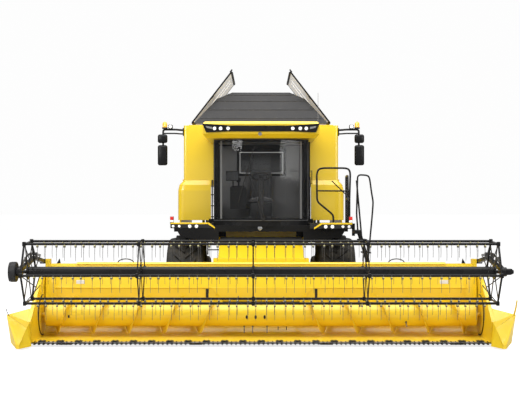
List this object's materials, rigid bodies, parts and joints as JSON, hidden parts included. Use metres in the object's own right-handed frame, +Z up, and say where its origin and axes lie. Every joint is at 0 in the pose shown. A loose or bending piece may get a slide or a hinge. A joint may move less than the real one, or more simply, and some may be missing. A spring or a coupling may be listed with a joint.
{
  "type": "combine harvester",
  "caption": "Self-propelled combine harvester with a wide cutting header, pick-up reel, glazed cab, open-topped grain tank and a rear-steered axle.",
  "frame": {"origin": "on the ground, at the middle of the machine's overall length and width", "axes": "+Z up; +Y towards the machine's rear, so it drives and cuts towards -Y; +X towards the machine's own left side, where the cab door and ladder are"},
  "size_m": [8.4, 10.1402, 5.1669],
  "materials": {
    "yellow_paint": "gloss yellow enamel",
    "header_yellow": "yellow enamel, lightly worn",
    "rim_yellow": "yellow enamel",
    "chassis_black": "black chassis paint over castings and steel",
    "black_paint": "satin black enamel",
    "charcoal_panel": "matt charcoal sheet",
    "black_plastic": "grained black plastic",
    "blade_steel": "ground steel",
    "rod_chrome": "chromed rod",
    "tyre": "black tractor tyre",
    "glass": "tinted cab glass",
    "seat_fabric": "dark woven seat cloth"
  },
  "bodies": {
    "machine": {"chassis_frame": "chassis_black", "front_axle": "chassis_black", "rear_axle": "chassis_black", "threshing_body": "yellow_paint", "engine_block": "chassis_black", "engine_hood": "yellow_paint", "straw_hood": "yellow_paint", "front_panel_left": "yellow_paint", "front_panel_right": "yellow_paint", "grain_tank": "yellow_paint", "cab_frame": "black_paint", "cab_roof": "yellow_paint", "roof_light_bar": "black_paint", "windscreen": "glass", "side_window_right": "glass", "steering_column": "black_plastic", "seat_base": "black_plastic", "seat_cushion": "seat_fabric", "seat_backrest": "seat_fabric", "platform_left": "black_paint", "platform_right": "black_paint", "mirror_left": "black_paint", "mirror_right": "black_paint"},
    "front_wheel_left": {"front_tyre_left": "tyre", "front_rim_left": "rim_yellow"},
    "front_wheel_right": {"front_tyre_right": "tyre", "front_rim_right": "rim_yellow"},
    "rear_knuckle_left": {"rear_knuckle_left": "chassis_black"},
    "rear_knuckle_right": {"rear_knuckle_right": "chassis_black"},
    "rear_wheel_left": {"rear_tyre_left": "tyre", "rear_rim_left": "rim_yellow"},
    "rear_wheel_right": {"rear_tyre_right": "tyre", "rear_rim_right": "rim_yellow"},
    "steering_wheel": {"steering_wheel": "black_plastic"},
    "cab_door": {"cab_door": "black_paint", "cab_door_glass": "glass"},
    "tank_lid_left": {"tank_lid_left": "charcoal_panel"},
    "tank_lid_right": {"tank_lid_right": "charcoal_panel"},
    "tank_flap_front": {"tank_flap_front": "charcoal_panel"},
    "tank_flap_rear": {"tank_flap_rear": "charcoal_panel"},
    "unloading_auger": {"unloading_auger": "yellow_paint"},
    "side_shield_front_left": {"side_shield_front_left": "yellow_paint"},
    "side_shield_front_right": {"side_shield_front_right": "yellow_paint"},
    "side_shield_rear_left": {"side_shield_rear_left": "yellow_paint"},
    "side_shield_rear_right": {"side_shield_rear_right": "yellow_paint"},
    "header": {"feeder_house": "header_yellow", "header_frame": "header_yellow", "cutterbar": "black_paint", "crop_divider_left": "header_yellow", "crop_divider_right": "header_yellow"},
    "knife": {"knife": "blade_steel"},
    "feed_auger": {"feed_auger": "header_yellow"},
    "reel_arms": {"reel_arm_left": "black_paint", "reel_arm_right": "black_paint"},
    "reel": {"reel": "black_paint"},
    "lift_barrel_left": {"lift_cylinder_barrel_left": "black_paint"},
    "lift_barrel_right": {"lift_cylinder_barrel_right": "black_paint"},
    "lift_rod_left": {"lift_cylinder_rod_left": "rod_chrome"},
    "lift_rod_right": {"lift_cylinder_rod_right": "rod_chrome"},
    "access_ladder": {"access_ladder": "black_paint"}
  },
  "joints": [
    {"name": "front_wheel_left_spin", "type": "hinge", "parent": "machine", "child": "front_wheel_left", "pos_m": [1.49, -0.3, 0.89], "axis": [1, 0, 0], "continuous": true},
    {"name": "front_wheel_right_spin", "type": "hinge", "parent": "machine", "child": "front_wheel_right", "pos_m": [-1.49, -0.3, 0.89], "axis": [1, 0, 0], "continuous": true},
    {"name": "rear_steer_left", "type": "hinge", "parent": "machine", "child": "rear_knuckle_left", "pos_m": [1.08, 3.4, 0.62], "axis": [0, 0, 1], "range_deg": [-30, 30]},
    {"name": "rear_steer_right", "type": "hinge", "parent": "machine", "child": "rear_knuckle_right", "pos_m": [-1.08, 3.4, 0.62], "axis": [0, 0, 1], "range_deg": [-30, 30]},
    {"name": "rear_wheel_left_spin", "type": "hinge", "parent": "rear_knuckle_left", "child": "rear_wheel_left", "pos_m": [1.42, 3.4, 0.62], "axis": [1, 0, 0], "continuous": true},
    {"name": "rear_wheel_right_spin", "type": "hinge", "parent": "rear_knuckle_right", "child": "rear_wheel_right", "pos_m": [-1.42, 3.4, 0.62], "axis": [1, 0, 0], "continuous": true},
    {"name": "steering_wheel_turn", "type": "hinge", "parent": "machine", "child": "steering_wheel", "pos_m": [0, -0.645, 2.945], "axis": [0, 0.4067, 0.9136], "continuous": true},
    {"name": "cab_door_swing", "type": "hinge", "parent": "machine", "child": "cab_door", "pos_m": [0.966, -0.015, 2.85], "axis": [0, 0, 1], "range_deg": [0, 80]},
    {"name": "tank_lid_left_fold", "type": "hinge", "parent": "machine", "child": "tank_lid_left", "pos_m": [1.44, 1.42, 4.08], "axis": [0, -1, 0], "range_deg": [0, 52.2]},
    {"name": "tank_lid_right_fold", "type": "hinge", "parent": "machine", "child": "tank_lid_right", "pos_m": [-1.44, 1.42, 4.08], "axis": [0, 1, 0], "range_deg": [0, 52.2]},
    {"name": "tank_flap_front_fold", "type": "hinge", "parent": "machine", "child": "tank_flap_front", "pos_m": [0, 0.312, 4.077], "axis": [-1, 0, 0], "range_deg": [0, 102]},
    {"name": "tank_flap_rear_fold", "type": "hinge", "parent": "machine", "child": "tank_flap_rear", "pos_m": [0, 2.528, 4.077], "axis": [1, 0, 0], "range_deg": [0, 102]},
    {"name": "unloader_swing", "type": "hinge", "parent": "machine", "child": "unloading_auger", "pos_m": [1.42, 0.62, 3.3], "axis": [0, 0, -1], "range_deg": [0, 95]},
    {"name": "side_shield_front_left_lift", "type": "hinge", "parent": "machine", "child": "side_shield_front_left", "pos_m": [1.645, 1.45, 2.91], "axis": [0, -1, 0], "range_deg": [0, 75]},
    {"name": "side_shield_rear_left_lift", "type": "hinge", "parent": "machine", "child": "side_shield_rear_left", "pos_m": [1.645, 3.175, 2.91], "axis": [0, -1, 0], "range_deg": [0, 75]},
    {"name": "side_shield_front_right_lift", "type": "hinge", "parent": "machine", "child": "side_shield_front_right", "pos_m": [-1.645, 1.45, 2.91], "axis": [0, 1, 0], "range_deg": [0, 75]},
    {"name": "side_shield_rear_right_lift", "type": "hinge", "parent": "machine", "child": "side_shield_rear_right", "pos_m": [-1.645, 3.175, 2.91], "axis": [0, 1, 0], "range_deg": [0, 75]},
    {"name": "header_lift", "type": "hinge", "parent": "machine", "child": "header", "pos_m": [0, -0.7, 1.7], "axis": [-1, 0, 0], "range_deg": [0, 16]},
    {"name": "knife_stroke", "type": "slide", "parent": "header", "child": "knife", "axis": [1, 0, 0], "range_m": [-0.038, 0.038]},
    {"name": "feed_auger_turn", "type": "hinge", "parent": "header", "child": "feed_auger", "pos_m": [0, -3.1, 0.445], "axis": [1, 0, 0], "continuous": true},
    {"name": "reel_lift", "type": "hinge", "parent": "header", "child": "reel_arms", "pos_m": [0, -2.62, 1.36], "axis": [-1, 0, 0], "range_deg": [-4, 30]},
    {"name": "reel_turn", "type": "hinge", "parent": "reel_arms", "child": "reel", "pos_m": [0, -4.5, 1.28], "axis": [1, 0, 0], "continuous": true},
    {"name": "lift_barrel_left_swing", "type": "hinge", "parent": "machine", "child": "lift_barrel_left", "pos_m": [0.6, -0.65, 0.8], "axis": [-1, 0, 0], "range_deg": [0, 18]},
    {"name": "lift_rod_left_stroke", "type": "slide", "parent": "lift_barrel_left", "child": "lift_rod_left", "axis": [0, -0.9398, -0.3417], "range_m": [0, 0.25]},
    {"name": "lift_barrel_right_swing", "type": "hinge", "parent": "machine", "child": "lift_barrel_right", "pos_m": [-0.6, -0.65, 0.8], "axis": [-1, 0, 0], "range_deg": [0, 18]},
    {"name": "lift_rod_right_stroke", "type": "slide", "parent": "lift_barrel_right", "child": "lift_rod_right", "axis": [0, -0.9398, -0.3417], "range_m": [0, 0.25]},
    {"name": "access_ladder_swing", "type": "hinge", "parent": "machine", "child": "access_ladder", "pos_m": [1.79, -1.2, 1.9], "axis": [0, 0, 1], "range_deg": [0, 90]}
  ],
  "couplings": [
    {"joint": "rear_steer_right", "follows": "rear_steer_left", "ratio": 1},
    {"joint": "tank_lid_right_fold", "follows": "tank_lid_left_fold", "ratio": 1},
    {"joint": "tank_flap_front_fold", "follows": "tank_lid_left_fold", "ratio": 1.9535},
    {"joint": "tank_flap_rear_fold", "follows": "tank_lid_left_fold", "ratio": 1.9535},
    {"joint": "lift_barrel_left_swing", "follows": "header_lift", "ratio": 1.11},
    {"joint": "lift_rod_left_stroke", "follows": "header_lift", "m_per_rad": 0.88},
    {"joint": "lift_barrel_right_swing", "follows": "header_lift", "ratio": 1.11},
    {"joint": "lift_rod_right_stroke", "follows": "header_lift", "m_per_rad": 0.88}
  ]
}
